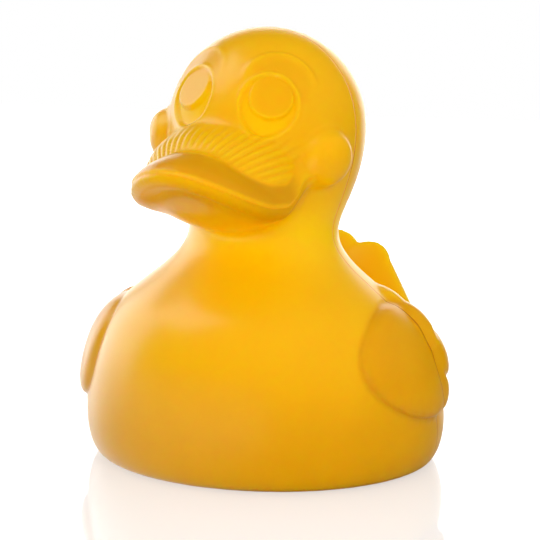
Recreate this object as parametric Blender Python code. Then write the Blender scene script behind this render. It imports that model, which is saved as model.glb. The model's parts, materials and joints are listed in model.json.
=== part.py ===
"""Bath duck moulded in one piece of natural rubber, about 105 mm tall.

The duck faces -Y and stands on z = 0, with +X on its own left. Every length is in metres.
A turned body, neck and head are pressed slightly oval, and the bill, cheeks, wings and tail
are pebbles of rubber pressed onto that form and joined to it.
"""

import math

import bmesh
import bpy
import numpy as np
from mathutils import Euler, Matrix, Vector

MM = 0.001

# Body, neck and head
FOOT_RADIUS = 40.3 * MM
BODY_RADIUS = 44.9 * MM
BODY_WIDEST_HEIGHT = 10.5 * MM
SHOULDER_RADIUS = 35.2 * MM
SHOULDER_HEIGHT = 37.5 * MM
NECK_RADIUS = 18.4 * MM
NECK_HEIGHT = 56.5 * MM
HEAD_RADIUS = 24.1 * MM
HEAD_HEIGHT = 80.9 * MM
BODY_DEPTH_SHARE = 0.92
CHEST_FORWARD = 4.2 * MM
CHEST_HEIGHT = 40.0 * MM
CHEST_SPREAD = 16.0 * MM
TURN_SEGMENTS = 56

# Head features: the head is cocked a little to the duck's left
HEAD_TILT = math.radians(5.0)
EYE_AZIMUTH = math.radians(27.0)
EYE_ELEVATION = math.radians(17.5)
EYE_HALF_WIDTH = 6.9 * MM
EYE_HALF_HEIGHT = 8.1 * MM
EYE_LEAN = math.radians(12.0)
EYE_DEPTH = 0.9 * MM
PUPIL_RADIUS = 5.7 * MM
PUPIL_OUTWARD = 0.5 * MM
PUPIL_UP = 2.1 * MM
BROW_RADIUS = 9.6 * MM
BROW_OUTWARD = 2.6 * MM
BROW_UP = 6.2 * MM
BROW_DEPTH = 0.6 * MM
CHEEK_AZIMUTH = math.radians(63.0)
CHEEK_ELEVATION = math.radians(-10.5)
CHEEK_RADIUS = 7.5 * MM
CHEEK_SINK = 2.5 * MM

# Muzzle: the pleated mound between the bill and the face
MUZZLE_HALF_WIDTH = 19.6 * MM
MUZZLE_LENGTH = 17.0 * MM
MUZZLE_RISE = 14.0 * MM
MUZZLE_DROP = 11.5 * MM
MUZZLE_FORWARD = 20.0 * MM
PLEATS = 18
PLEAT_DEPTH = 0.7 * MM

# Bill
BILL_HALF_WIDTH = 20.6 * MM
BILL_ROOT_FORWARD = 15.0 * MM
BILL_LENGTH = 31.3 * MM
BILL_ROOT_LENGTH = 11.0 * MM
BILL_DIP_FORWARD = 28.5 * MM
BILL_DIP_LENGTH = 4.0 * MM
BILL_DIP_DROP = 15.7 * MM
BILL_TIP_RISE = 7.4 * MM
BILL_CORNER_RISE = 6.5 * MM
BILL_CORNER_FORWARD = 14.5 * MM
UPPER_LIP_TIP = 4.5 * MM
UPPER_LIP_DIP = 3.4 * MM
UPPER_LIP_CORNER = 1.0 * MM
UPPER_DISH = 1.6 * MM
LOWER_LIP_DEPTH = 6.0 * MM
LOWER_LIP_INSET = 0.7 * MM

# Wings
WING_HEIGHT = 28.6 * MM
WING_BACK = -9.6 * MM
WING_HALF_LENGTH = 11.6 * MM
WING_HALF_HEIGHT = 13.4 * MM
WING_LEAN = 3.6 * MM
WING_EDGE = 1.5 * MM
WING_CROWN = 1.7 * MM
WING_SINK = 3.0 * MM
FEATHERS = 3
FEATHER_BACK = -3.5 * MM
FEATHER_REACH = 20.0 * MM
FEATHER_ROOT_REACH = 4.0 * MM
FEATHER_HALF_HEIGHT = 13.4 * MM
FEATHER_RISE = 0.2 * MM
FEATHER_TIP = 2.9 * MM
FEATHER_LIFT = 3.8 * MM

# Tail
TAIL_LEAN = math.radians(30.0)
TAIL_ROOT_HEIGHT = 25.0 * MM
TAIL_ROOT_BACK = 32.4 * MM
TAIL_MIDDLE_REACH = 22.5 * MM
TAIL_MIDDLE_RADIUS = 7.1 * MM
TAIL_SIDE_OUT = 9.6 * MM
TAIL_SIDE_REACH = 13.8 * MM
TAIL_SIDE_RADIUS = 11.2 * MM
TAIL_TIP_THICKNESS = 5.0 * MM
TAIL_ROOT_THICKNESS = 11.5 * MM

RUBBER_COLOUR = (0.90, 0.46, 0.005, 1.0)


def clear_scene():
    for old in list(bpy.data.objects):
        bpy.data.objects.remove(old)


def smoothstep(t):
    t = min(1.0, max(0.0, t))
    return t * t * (3 - 2 * t)


def bezier(start, leave, arrive, end, steps):
    """Points of a cubic curve from start to end, without the start point."""
    points = []
    for i in range(1, steps + 1):
        t = i / steps
        weights = ((1 - t) ** 3, 3 * t * (1 - t) ** 2, 3 * t * t * (1 - t), t**3)
        corners = (start, leave, arrive, end)
        points.append(tuple(sum(w * c[k] for w, c in zip(weights, corners)) for k in (0, 1)))
    return points


def turned_profile():
    """The half outline of body, neck and head as (radius, height), from the foot to the crown."""
    foot = (FOOT_RADIUS, 0.0)
    widest = (BODY_RADIUS, BODY_WIDEST_HEIGHT)
    shoulder = (SHOULDER_RADIUS, SHOULDER_HEIGHT)
    neck = (NECK_RADIUS, NECK_HEIGHT)
    ear = (HEAD_RADIUS, HEAD_HEIGHT)
    side_rise = SHOULDER_HEIGHT - BODY_WIDEST_HEIGHT
    slope_rise = NECK_HEIGHT - SHOULDER_HEIGHT
    cheek_rise = HEAD_HEIGHT - NECK_HEIGHT
    outline = [foot]
    outline += bezier(
        foot,
        (FOOT_RADIUS + 0.6 * (BODY_RADIUS - FOOT_RADIUS), 0.0),
        (BODY_RADIUS, 0.45 * BODY_WIDEST_HEIGHT),
        widest,
        6,
    )
    outline += bezier(
        widest,
        (BODY_RADIUS, BODY_WIDEST_HEIGHT + 0.27 * side_rise),
        (SHOULDER_RADIUS + 0.24 * side_rise, SHOULDER_HEIGHT - 0.3 * side_rise),
        shoulder,
        7,
    )
    outline += bezier(
        shoulder,
        (SHOULDER_RADIUS - 0.28 * slope_rise, SHOULDER_HEIGHT + 0.35 * slope_rise),
        (NECK_RADIUS, NECK_HEIGHT - 0.4 * slope_rise),
        neck,
        7,
    )
    outline += bezier(
        neck,
        (NECK_RADIUS, NECK_HEIGHT + 0.19 * cheek_rise),
        (HEAD_RADIUS, HEAD_HEIGHT - 0.5 * cheek_rise),
        ear,
        7,
    )
    crown_steps = 11
    for i in range(1, crown_steps + 1):
        turn = math.radians(90) * i / crown_steps
        outline.append((HEAD_RADIUS * math.cos(turn), HEAD_HEIGHT + HEAD_RADIUS * math.sin(turn)))
    return outline


PROFILE = turned_profile()


def half_width(height):
    return float(np.interp(height, [p[1] for p in PROFILE], [p[0] for p in PROFILE]))


def half_depth(height):
    """Front to back the body is a little slimmer than side to side, and the head is round."""
    t = smoothstep((height - SHOULDER_HEIGHT) / (HEAD_HEIGHT - SHOULDER_HEIGHT))
    return half_width(height) * (BODY_DEPTH_SHARE + (1 - BODY_DEPTH_SHARE) * t)


def middle_y(height):
    """The chest swells forward between foot and throat."""
    return -CHEST_FORWARD * math.exp(-(((height - CHEST_HEIGHT) / CHEST_SPREAD) ** 2))


def side_of_body(y, height):
    """The x of the body's left side at that y and height."""
    share = (y - middle_y(height)) / half_depth(height)
    return half_width(height) * math.sqrt(max(0.0, 1 - share * share))


def new_object(name, mesh, collection, helper):
    obj = bpy.data.objects.new(name, mesh)
    collection.objects.link(obj)
    if helper:
        obj.hide_render = True
        obj.display_type = "WIRE"
    return obj


def turned_body(collection):
    """Body, neck and head: the profile turned round Z, then pressed oval ring by ring."""
    mesh = bpy.data.meshes.new("duck")
    bm = bmesh.new()
    verts = [bm.verts.new((0.0, 0.0, 0.0))]
    verts += [bm.verts.new((radius, 0.0, height)) for radius, height in PROFILE[:-1]]
    verts.append(bm.verts.new((0.0, 0.0, PROFILE[-1][1])))
    edges = [bm.edges.new(pair) for pair in zip(verts, verts[1:])]
    bmesh.ops.spin(
        bm,
        geom=verts + edges,
        cent=(0, 0, 0),
        axis=(0, 0, 1),
        angle=math.tau,
        steps=TURN_SEGMENTS,
        use_merge=True,
    )
    bmesh.ops.remove_doubles(bm, verts=bm.verts, dist=0.01 * MM)
    for vert in bm.verts:
        height = vert.co.z
        radius = half_width(height)
        if radius > 0:
            vert.co.y *= half_depth(height) / radius
        vert.co.y += middle_y(height)
    bmesh.ops.recalc_face_normals(bm, faces=bm.faces)
    bm.to_mesh(mesh)
    bm.free()
    return new_object("duck", mesh, collection, helper=False)


def pebble(name, collection, place, around, along, fullness=2.0, tilt=None):
    """A closed form pressed from a ball: place takes (angle, reach, rise) to a point.

    reach runs from 0 at the middle to 1 at the rim, and rise from -1 below to 1 above.
    A fullness over 2 makes a flatter plate with a tighter rim.
    """
    bm = bmesh.new()
    bmesh.ops.create_uvsphere(bm, u_segments=around, v_segments=along, radius=1.0)
    for vert in bm.verts:
        flat = min(1.0, math.hypot(vert.co.x, vert.co.y))
        angle = math.atan2(vert.co.y, vert.co.x)
        reach = flat ** (2 / fullness)
        rise = math.copysign(abs(vert.co.z) ** (2 / fullness), vert.co.z)
        if abs(vert.co.z) < 1e-6:
            rise = 0.0
        vert.co = place(angle, reach, rise)
    if tilt is not None:
        bmesh.ops.transform(bm, matrix=tilt, verts=bm.verts)
    bmesh.ops.recalc_face_normals(bm, faces=bm.faces)
    mesh = bpy.data.meshes.new(name)
    bm.to_mesh(mesh)
    bm.free()
    return new_object(name, mesh, collection, helper=True)


def head_tilt():
    """The cock of the head: a turn round the facing axis through the middle of the head."""
    middle = Matrix.Translation((0, 0, HEAD_HEIGHT))
    return middle @ Matrix.Rotation(HEAD_TILT, 4, "Y") @ middle.inverted()


def wrap_on_head(azimuth, elevation, outward, up, lift):
    """A point beside (azimuth, elevation) on the head, measured along the skin, lifted off it."""
    turn = Euler((-elevation, 0, azimuth)).to_matrix()
    direction = turn @ Vector((outward, -HEAD_RADIUS, up)).normalized()
    return Vector((0, 0, HEAD_HEIGHT)) + direction * (HEAD_RADIUS + lift)


def eye_outline(angle):
    """The eye is an oval, and its top leans away from the bill."""
    a = angle + EYE_LEAN
    return 1 / math.hypot(math.cos(a) / EYE_HALF_WIDTH, math.sin(a) / EYE_HALF_HEIGHT)


def eye_pieces(side, cuts, fills):
    """One eye: a shallow brow hollow, a sunk oval and a pupil that stands back up in it."""
    azimuth = side * EYE_AZIMUTH

    def brow(angle, reach, rise):
        outward = BROW_OUTWARD + BROW_RADIUS * reach * math.cos(angle)
        up = BROW_UP + BROW_RADIUS * reach * math.sin(angle)
        floor = -BROW_DEPTH * (0.4 + 0.6 * reach * math.sin(angle + math.radians(-40)))
        lift = floor if rise < 0 else 2 * MM
        return wrap_on_head(azimuth, EYE_ELEVATION, side * outward, up, lift * abs(rise))

    def socket(angle, reach, rise):
        radius = eye_outline(angle) * reach
        outward = radius * math.cos(angle)
        up = radius * math.sin(angle)
        lift = (-EYE_DEPTH if rise < 0 else 3 * MM) * abs(rise)
        return wrap_on_head(azimuth, EYE_ELEVATION, side * outward, up, lift)

    def pupil(angle, reach, rise):
        outward = PUPIL_OUTWARD + PUPIL_RADIUS * reach * math.cos(angle)
        up = PUPIL_UP + PUPIL_RADIUS * reach * math.sin(angle)
        base = -1.5 * EYE_DEPTH
        lift = base + rise * (1.5 * EYE_DEPTH if rise > 0 else EYE_DEPTH)
        return wrap_on_head(azimuth, EYE_ELEVATION, side * outward, up, lift)

    label = "left" if side > 0 else "right"
    pebble(f"{label}_brow", cuts, brow, 32, 8, 5.0, head_tilt())
    pebble(f"{label}_socket", cuts, socket, 32, 8, 6.0, head_tilt())
    pebble(f"{label}_pupil", fills, pupil, 28, 8, 5.0, head_tilt())


def cheek(side, joins):
    """A round cheek, most of a ball, set into the side of the head."""

    def place(angle, reach, rise):
        ball = Vector((reach * math.cos(angle), reach * math.sin(angle), rise)) * CHEEK_RADIUS
        middle = wrap_on_head(side * CHEEK_AZIMUTH, CHEEK_ELEVATION, 0, 0, -CHEEK_SINK)
        turn = Euler((math.radians(90) - CHEEK_ELEVATION, 0, side * CHEEK_AZIMUTH)).to_matrix()
        return middle + turn @ ball

    label = "left" if side > 0 else "right"
    pebble(f"{label}_cheek", joins, place, 28, 12, 2.0, head_tilt())


def muzzle(joins):
    """A mound round the root of the bill, with pleats that fan out over its upper half."""
    centre = Vector((0, -MUZZLE_FORWARD, HEAD_HEIGHT - BILL_DIP_DROP + 3.6 * MM))

    def place(angle, reach, rise):
        pleated = max(0.0, math.sin(angle)) ** 0.5
        crest = 0.5 - 0.5 * math.cos(2 * PLEATS * angle)
        inward = PLEAT_DEPTH * (1 - crest) * pleated * reach
        across = reach * MUZZLE_HALF_WIDTH - inward
        tall = reach * (MUZZLE_RISE if math.sin(angle) > 0 else MUZZLE_DROP) - inward
        forward = MUZZLE_LENGTH * rise
        return centre + Vector((across * math.cos(angle), -forward, tall * math.sin(angle)))

    pebble("muzzle", joins, place, 4 * PLEATS, 12, 2.0, head_tilt())


def bill_outline(across, along):
    """Takes a point of a unit disc to the bill's plan: long and blunt in front, short behind."""
    if along <= 0:
        return BILL_HALF_WIDTH * across, -BILL_ROOT_FORWARD - BILL_ROOT_LENGTH * along
    return BILL_HALF_WIDTH * across, -BILL_ROOT_FORWARD - BILL_LENGTH * along


def along_mouth(y, tip, dip, corner):
    """A value along the mouth, blended from its tip to its low middle and to its corners."""
    dip_end = BILL_DIP_FORWARD - BILL_DIP_LENGTH
    if -y > BILL_DIP_FORWARD:
        reach = BILL_ROOT_FORWARD + BILL_LENGTH - BILL_DIP_FORWARD
        return dip + (tip - dip) * smoothstep((-y - BILL_DIP_FORWARD) / reach)
    return dip + (corner - dip) * smoothstep((dip_end + y) / (dip_end - BILL_CORNER_FORWARD))


def lip_height(y):
    """The mouth line seen from the side: up at the tip, down in the middle, up at the corners."""
    low = HEAD_HEIGHT - BILL_DIP_DROP
    return along_mouth(y, low + BILL_TIP_RISE, low, low + BILL_CORNER_RISE)


def upper_lip_thickness(y):
    return along_mouth(y, UPPER_LIP_TIP, UPPER_LIP_DIP, UPPER_LIP_CORNER)


def bill(joins):
    """Two lips that meet along a waved mouth line."""

    def upper(angle, reach, rise):
        x, y = bill_outline(reach * math.cos(angle), reach * math.sin(angle))
        half = 0.5 * upper_lip_thickness(y)
        height = lip_height(y) + half + half * rise
        if rise > 0:
            height -= UPPER_DISH * rise * (1 - reach * reach)
        return Vector((x, y, height))

    def lower(angle, reach, rise):
        inner = reach * (1 - LOWER_LIP_INSET / BILL_HALF_WIDTH)
        x, y = bill_outline(inner * math.cos(angle), inner * math.sin(angle))
        mouth = lip_height(y) - 0.15 * LOWER_LIP_DEPTH
        if rise > 0:
            return Vector((x, y, mouth + 0.35 * LOWER_LIP_DEPTH * rise))
        return Vector((x, y, mouth + 0.85 * LOWER_LIP_DEPTH * rise))

    pebble("upper_bill", joins, upper, 44, 12, 3.0, head_tilt())
    pebble("lower_bill", joins, lower, 42, 12, 2.4, head_tilt())


def feather_outline(angle):
    """A plate that is blunt in front, under the disc, and ends in round feather tips behind."""
    reach = FEATHER_REACH if math.cos(angle) > 0 else FEATHER_ROOT_REACH
    oval = 1 / math.hypot(math.cos(angle) / reach, math.sin(angle) / FEATHER_HALF_HEIGHT)
    span = math.radians(84)
    tips = 0.0
    if abs(angle) < span:
        tips = abs(math.sin(FEATHERS * 0.5 * math.pi * (angle + span) / span))
    return oval + FEATHER_TIP * (tips - 1)


def wing(side, joins):
    """A domed oval disc on the side of the body, with a plate of feathers behind it."""

    def disc(angle, reach, rise):
        y = WING_BACK + reach * (WING_HALF_LENGTH * math.cos(angle) + WING_LEAN * math.sin(angle))
        height = WING_HEIGHT + WING_HALF_HEIGHT * reach * math.sin(angle)
        top = WING_EDGE + WING_CROWN * (1 - reach * reach)
        lift = rise * (top if rise > 0 else WING_SINK)
        return Vector((side * (side_of_body(y, height) + lift), y, height))

    def feathers(angle, reach, rise):
        radius = feather_outline(angle) * reach
        y = FEATHER_BACK + radius * math.cos(angle)
        height = WING_HEIGHT + FEATHER_RISE + radius * math.sin(angle)
        back = smoothstep(1.5 * reach * math.cos(angle))
        top = WING_EDGE + FEATHER_LIFT * back
        lift = rise * (top if rise > 0 else WING_SINK)
        return Vector((side * (side_of_body(y, height) + lift), y, height))

    label = "left" if side > 0 else "right"
    pebble(f"{label}_wing", joins, disc, 40, 10, 4.0)
    pebble(f"{label}_feathers", joins, feathers, 54, 10, 4.0)


def tail_outline(angle):
    """Three round feather tips: the distance from the root to the edge in that direction."""
    lobes = [(0.0, TAIL_MIDDLE_REACH, TAIL_MIDDLE_RADIUS)]
    lobes += [(side * TAIL_SIDE_OUT, TAIL_SIDE_REACH, TAIL_SIDE_RADIUS) for side in (-1, 1)]
    edge = 0.0
    for across, along, radius in lobes:
        near = across * math.cos(angle) + along * math.sin(angle)
        off = across * math.sin(angle) - along * math.cos(angle)
        if abs(off) < radius:
            edge = max(edge, near + math.sqrt(radius * radius - off * off))
    return edge


def tail(joins):
    """A fan of feathers that rises from the rump and leans back."""
    root = Vector((0, TAIL_ROOT_BACK, TAIL_ROOT_HEIGHT))
    along = Vector((0, math.sin(TAIL_LEAN), math.cos(TAIL_LEAN)))
    through = Vector((0, math.cos(TAIL_LEAN), -math.sin(TAIL_LEAN)))
    middle = 0.45 * TAIL_MIDDLE_REACH
    longest = TAIL_MIDDLE_REACH + TAIL_MIDDLE_RADIUS

    def place(angle, reach, rise):
        # The ball's middle sits above the root, so that the rim distance is taken from there.
        radius = reach * tail_outline_from(angle, middle)
        across = radius * math.cos(angle)
        up = middle + radius * math.sin(angle)
        share = smoothstep(up / longest)
        thick = TAIL_ROOT_THICKNESS + (TAIL_TIP_THICKNESS - TAIL_ROOT_THICKNESS) * share
        return root + Vector((across, 0, 0)) + along * up + through * (0.5 * thick * rise)

    pebble("tail", joins, place, 56, 10, 3.2)


def tail_outline_from(angle, middle):
    """The distance from a point above the root to the edge of the fan, by stepping outwards."""
    step = 0.1 * MM
    reach = 0.0
    while reach < 60 * MM:
        across = reach * math.cos(angle)
        up = middle + reach * math.sin(angle)
        if not inside_fan(across, up):
            break
        reach += step
    return reach


def inside_fan(across, up):
    if math.hypot(across, up - TAIL_MIDDLE_REACH) < TAIL_MIDDLE_RADIUS:
        return True
    for side in (-1, 1):
        if math.hypot(across - side * TAIL_SIDE_OUT, up - TAIL_SIDE_REACH) < TAIL_SIDE_RADIUS:
            return True
    return abs(across) < TAIL_SIDE_OUT and 0 < up < TAIL_MIDDLE_REACH


def boolean(obj, operation, collection):
    modifier = obj.modifiers.new(operation.lower(), "BOOLEAN")
    modifier.operation = operation
    modifier.operand_type = "COLLECTION"
    modifier.collection = collection
    modifier.solver = "EXACT"


def rubber():
    material = bpy.data.materials.new("natural_rubber")
    material.use_nodes = True
    shader = material.node_tree.nodes["Principled BSDF"]
    shader.inputs["Base Color"].default_value = RUBBER_COLOUR
    shader.inputs["Roughness"].default_value = 0.42
    shader.inputs["Metallic"].default_value = 0.0
    return material


def new_collection(name):
    collection = bpy.data.collections.new(name)
    bpy.context.scene.collection.children.link(collection)
    return collection


def main():
    clear_scene()
    duck_parts = new_collection("rubber_duck")
    joins = new_collection("joined_forms")
    cuts = new_collection("eye_cuts")
    fills = new_collection("pupils")
    duck = turned_body(duck_parts)
    muzzle(joins)
    bill(joins)
    tail(joins)
    for side in (-1, 1):
        cheek(side, joins)
        wing(side, joins)
        eye_pieces(side, cuts, fills)
    boolean(duck, "UNION", joins)
    boolean(duck, "DIFFERENCE", cuts)
    boolean(duck, "UNION", fills)
    duck.data.materials.append(rubber())


main()
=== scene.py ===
# Bath duck of natural rubber on a glossy white table, with soft panels to its left, above and behind it.
# The duck faces -Y, +X is its own left, and lengths are in metres unless a name ends in Mm.

import json
import math

import bmesh
import bpy
import numpy as np
from mathutils import Euler, Matrix, Vector

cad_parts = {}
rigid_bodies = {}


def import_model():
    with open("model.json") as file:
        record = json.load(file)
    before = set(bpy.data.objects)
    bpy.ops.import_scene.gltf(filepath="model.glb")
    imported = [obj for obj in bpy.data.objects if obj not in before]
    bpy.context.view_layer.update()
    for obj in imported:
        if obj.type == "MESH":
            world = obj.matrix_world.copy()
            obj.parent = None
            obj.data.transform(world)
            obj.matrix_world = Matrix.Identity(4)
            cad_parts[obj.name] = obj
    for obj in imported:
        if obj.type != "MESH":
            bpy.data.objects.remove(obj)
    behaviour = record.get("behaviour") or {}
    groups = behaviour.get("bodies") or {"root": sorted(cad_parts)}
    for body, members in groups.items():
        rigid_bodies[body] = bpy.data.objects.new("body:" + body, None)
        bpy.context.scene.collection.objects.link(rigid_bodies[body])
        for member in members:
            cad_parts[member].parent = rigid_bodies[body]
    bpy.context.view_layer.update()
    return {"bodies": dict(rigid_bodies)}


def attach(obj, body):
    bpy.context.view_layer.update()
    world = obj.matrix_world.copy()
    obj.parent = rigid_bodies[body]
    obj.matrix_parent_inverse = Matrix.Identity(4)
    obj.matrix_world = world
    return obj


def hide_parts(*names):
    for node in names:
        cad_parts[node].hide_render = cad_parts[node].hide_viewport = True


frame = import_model()
mm = 0.001


def smoothStep(t):
    t = min(1.0, max(0.0, t))
    return t * t * (3 - 2 * t)


def smoothSteps(low, high, values):
    t = np.clip((values - low) / (high - low), 0.0, 1.0)
    return t * t * (3 - 2 * t)


def curveTo(start, leave, arrive, end, steps):
    points = []
    for i in range(1, steps + 1):
        t = i / steps
        weights = ((1 - t) ** 3, 3 * t * (1 - t) ** 2, 3 * t * t * (1 - t), t**3)
        corners = (start, leave, arrive, end)
        points.append([sum(w * c[k] for w, c in zip(weights, corners)) for k in (0, 1)])
    return points


# body, neck and head: one turned form, pressed slightly oval
body = {
    "footRadius": 40.3 * mm,
    "widest": 44.9 * mm,
    "widestHeight": 10.5 * mm,
    "shoulder": 35.2 * mm,
    "shoulderHeight": 37.5 * mm,
    "neck": 18.4 * mm,
    "neckHeight": 56.5 * mm,
    "head": 24.1 * mm,
    "headHeight": 80.9 * mm,
    "depthShare": 0.92,
    "chestForward": 4.2 * mm,
    "chestHeight": 40.0 * mm,
    "chestSpread": 16.0 * mm,
    "turnSteps": 160,
}


def bodyOutline():
    foot = (body["footRadius"], 0.0)
    widest = (body["widest"], body["widestHeight"])
    shoulder = (body["shoulder"], body["shoulderHeight"])
    neck = (body["neck"], body["neckHeight"])
    ear = (body["head"], body["headHeight"])
    side = shoulder[1] - widest[1]
    slope = neck[1] - shoulder[1]
    cheek = ear[1] - neck[1]
    rows = [list(foot)]
    leave = (foot[0] + 0.6 * (widest[0] - foot[0]), 0.0)
    rows += curveTo(foot, leave, (widest[0], 0.45 * widest[1]), widest, 16)
    leave = (widest[0], widest[1] + 0.27 * side)
    arrive = (shoulder[0] + 0.24 * side, shoulder[1] - 0.3 * side)
    rows += curveTo(widest, leave, arrive, shoulder, 20)
    leave = (shoulder[0] - 0.28 * slope, shoulder[1] + 0.35 * slope)
    rows += curveTo(shoulder, leave, (neck[0], neck[1] - 0.4 * slope), neck, 20)
    leave = (neck[0], neck[1] + 0.19 * cheek)
    rows += curveTo(neck, leave, (ear[0], ear[1] - 0.5 * cheek), ear, 22)
    for i in range(1, 37):
        turn = math.radians(90) * i / 36
        rows.append([ear[0] * math.cos(turn), ear[1] + ear[0] * math.sin(turn)])
    return rows


outline = bodyOutline()
outlineHeights = [height for _, height in outline]
outlineRadii = [radius for radius, _ in outline]


def halfWidth(height):
    return float(np.interp(height, outlineHeights, outlineRadii))


def halfDepth(height):
    span = body["headHeight"] - body["shoulderHeight"]
    t = smoothStep((height - body["shoulderHeight"]) / span)
    return halfWidth(height) * (body["depthShare"] + (1 - body["depthShare"]) * t)


def middleY(height):
    spread = (height - body["chestHeight"]) / body["chestSpread"]
    return -body["chestForward"] * math.exp(-spread * spread)


def bodySide(y, height):
    share = (y - middleY(height)) / halfDepth(height)
    return halfWidth(height) * math.sqrt(max(0.0, 1 - share * share))


skin = bmesh.new()  # every form goes in here, and the remesh melts them into one skin


def turnBody():
    form = bmesh.new()
    verts = [form.verts.new((0, 0, 0))]
    verts += [form.verts.new((radius, 0, height)) for radius, height in outline[:-1]]
    verts.append(form.verts.new((0, 0, outline[-1][1])))
    edges = [form.edges.new(pair) for pair in zip(verts, verts[1:])]
    bmesh.ops.spin(
        form,
        geom=verts + edges,
        cent=(0, 0, 0),
        axis=(0, 0, 1),
        angle=math.tau,
        steps=body["turnSteps"],
        use_merge=True,
    )
    bmesh.ops.remove_doubles(form, verts=form.verts, dist=0.005 * mm)
    for vert in form.verts:
        height = vert.co.z
        radius = halfWidth(height)
        if radius > 0:
            vert.co.y *= halfDepth(height) / radius
        vert.co.y += middleY(height)
    addForm(form)


def addForm(form):
    bmesh.ops.recalc_face_normals(form, faces=form.faces)
    mesh = bpy.data.meshes.new("form")
    form.to_mesh(mesh)
    form.free()
    skin.from_mesh(mesh)
    bpy.data.meshes.remove(mesh)


def pebble(place, around, along, fullness, tilt=None):
    # a ball pressed into shape: place takes (angle, reach from the middle, rise) to a point
    form = bmesh.new()
    bmesh.ops.create_uvsphere(form, u_segments=around, v_segments=along, radius=1.0)
    for vert in form.verts:
        flat = min(1.0, math.hypot(vert.co.x, vert.co.y))
        angle = math.atan2(vert.co.y, vert.co.x)
        rise = math.copysign(abs(vert.co.z) ** (2 / fullness), vert.co.z)
        if abs(vert.co.z) < 1e-6:
            rise = 0.0
        vert.co = place(angle, flat ** (2 / fullness), rise)
    if tilt is not None:
        bmesh.ops.transform(form, matrix=tilt, verts=form.verts)
    addForm(form)


# the head is cocked to the duck's left, so everything on it is built upright and tilted
headTilt = math.radians(5.0)
headYaw = math.radians(-2.5)
headMiddle = Vector((0, 0, body["headHeight"]))
headTurn = Matrix.Rotation(headYaw, 4, "Z") @ Matrix.Rotation(headTilt, 4, "Y")
cockedHead = Matrix.Translation(headMiddle) @ headTurn @ Matrix.Translation(-headMiddle)

cheeks = {
    "azimuth": 64.5,
    "elevation": -10.5,
    "radius": 6.9 * mm,
    "height": 5.7 * mm,
    "sink": 0.9 * mm,
}


def addCheek(side):
    turn = Euler((math.radians(90 - cheeks["elevation"]), 0, side * math.radians(cheeks["azimuth"])))
    aim = Euler((math.radians(-cheeks["elevation"]), 0, side * math.radians(cheeks["azimuth"])))
    forward = aim.to_matrix() @ Vector((0, -1, 0))
    middle = headMiddle + forward * (body["head"] - cheeks["sink"])

    def place(angle, reach, rise):
        ball = Vector((reach * math.cos(angle), reach * math.sin(angle), rise))
        ball = Vector((ball.x * cheeks["radius"], ball.y * cheeks["radius"], ball.z * cheeks["height"]))
        return middle + turn.to_matrix() @ ball

    pebble(place, 96, 48, 2.3, cockedHead)


muzzle = {
    "halfWidth": 18.8 * mm,
    "length": 17.0 * mm,
    "rise": 14.0 * mm,
    "drop": 11.5 * mm,
    "forward": 20.0 * mm,
    "underHead": 12.1 * mm,
}


def addMuzzle():
    centre = Vector((0, -muzzle["forward"], body["headHeight"] - muzzle["underHead"]))

    def place(angle, reach, rise):
        tall = muzzle["rise"] if math.sin(angle) > 0 else muzzle["drop"]
        across = muzzle["halfWidth"] * reach * math.cos(angle)
        up = tall * reach * math.sin(angle)
        return centre + Vector((across, -muzzle["length"] * rise, up))

    pebble(place, 120, 60, 2.0, cockedHead)


bill = {
    "halfWidth": 20.6 * mm,
    "rootForward": 15.0 * mm,
    "length": 31.3 * mm,
    "rootLength": 11.0 * mm,
    "dipForward": 28.5 * mm,
    "dipLength": 4.0 * mm,
    "dipDrop": 15.7 * mm,
    "tipRise": 7.4 * mm,
    "cornerRise": 6.5 * mm,
    "cornerForward": 14.5 * mm,
    "rock": 0.04,
    "upperTip": 6.2 * mm,
    "upperDip": 8.2 * mm,
    "upperCorner": 6.4 * mm,
    "upperUnder": 0.8 * mm,
    "lowerDepth": 5.8 * mm,
    "lowerSink": 0.87 * mm,
    "lowerOver": 2.03 * mm,
}


def billPlan(across, along):
    reach = bill["rootLength"] if along <= 0 else bill["length"]
    return bill["halfWidth"] * across, -bill["rootForward"] - reach * along


def alongMouth(y, tip, dip, corner):
    # tip in front, low in the middle of the bill's side, up again at the corner
    if -y > bill["dipForward"]:
        reach = bill["rootForward"] + bill["length"] - bill["dipForward"]
        return dip + (tip - dip) * ((-y - bill["dipForward"]) / reach) ** 1.4
    dipEnd = bill["dipForward"] - bill["dipLength"]
    return dip + (corner - dip) * smoothStep((dipEnd + y) / (dipEnd - bill["cornerForward"]))


def lipHeight(x, y):
    low = body["headHeight"] - bill["dipDrop"] + bill["rock"] * x
    return alongMouth(y, low + bill["tipRise"], low, low + bill["cornerRise"])


def mouthHeight(angle, reach):
    # the mouth line at the rim carries on inwards, so the lips keep their height right round
    inner = lipHeight(*billPlan(reach * math.cos(angle), reach * math.sin(angle)))
    rim = lipHeight(*billPlan(math.cos(angle), math.sin(angle)))
    return inner + (rim - inner) * smoothStep((reach - 0.25) / 0.5)


def addBill():
    def upper(angle, reach, rise):
        x, y = billPlan(reach * math.cos(angle), reach * math.sin(angle))
        rimY = billPlan(math.cos(angle), math.sin(angle))[1]
        thick = alongMouth(rimY, bill["upperTip"], bill["upperDip"], bill["upperCorner"])
        depth = thick if rise > 0 else bill["upperUnder"]
        return Vector((x, y, mouthHeight(angle, reach) + rise * depth))

    def lower(angle, reach, rise):
        x, y = billPlan(reach * math.cos(angle), reach * math.sin(angle))
        # it rises a little past the mouth line, so the two lips melt together inside
        middle = mouthHeight(angle, reach) - bill["lowerSink"]
        depth = bill["lowerOver"] if rise > 0 else bill["lowerDepth"] - bill["lowerSink"]
        return Vector((x, y, middle + depth * rise))

    pebble(upper, 160, 64, 2.0, cockedHead)
    pebble(lower, 160, 48, 2.4, cockedHead)


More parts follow.
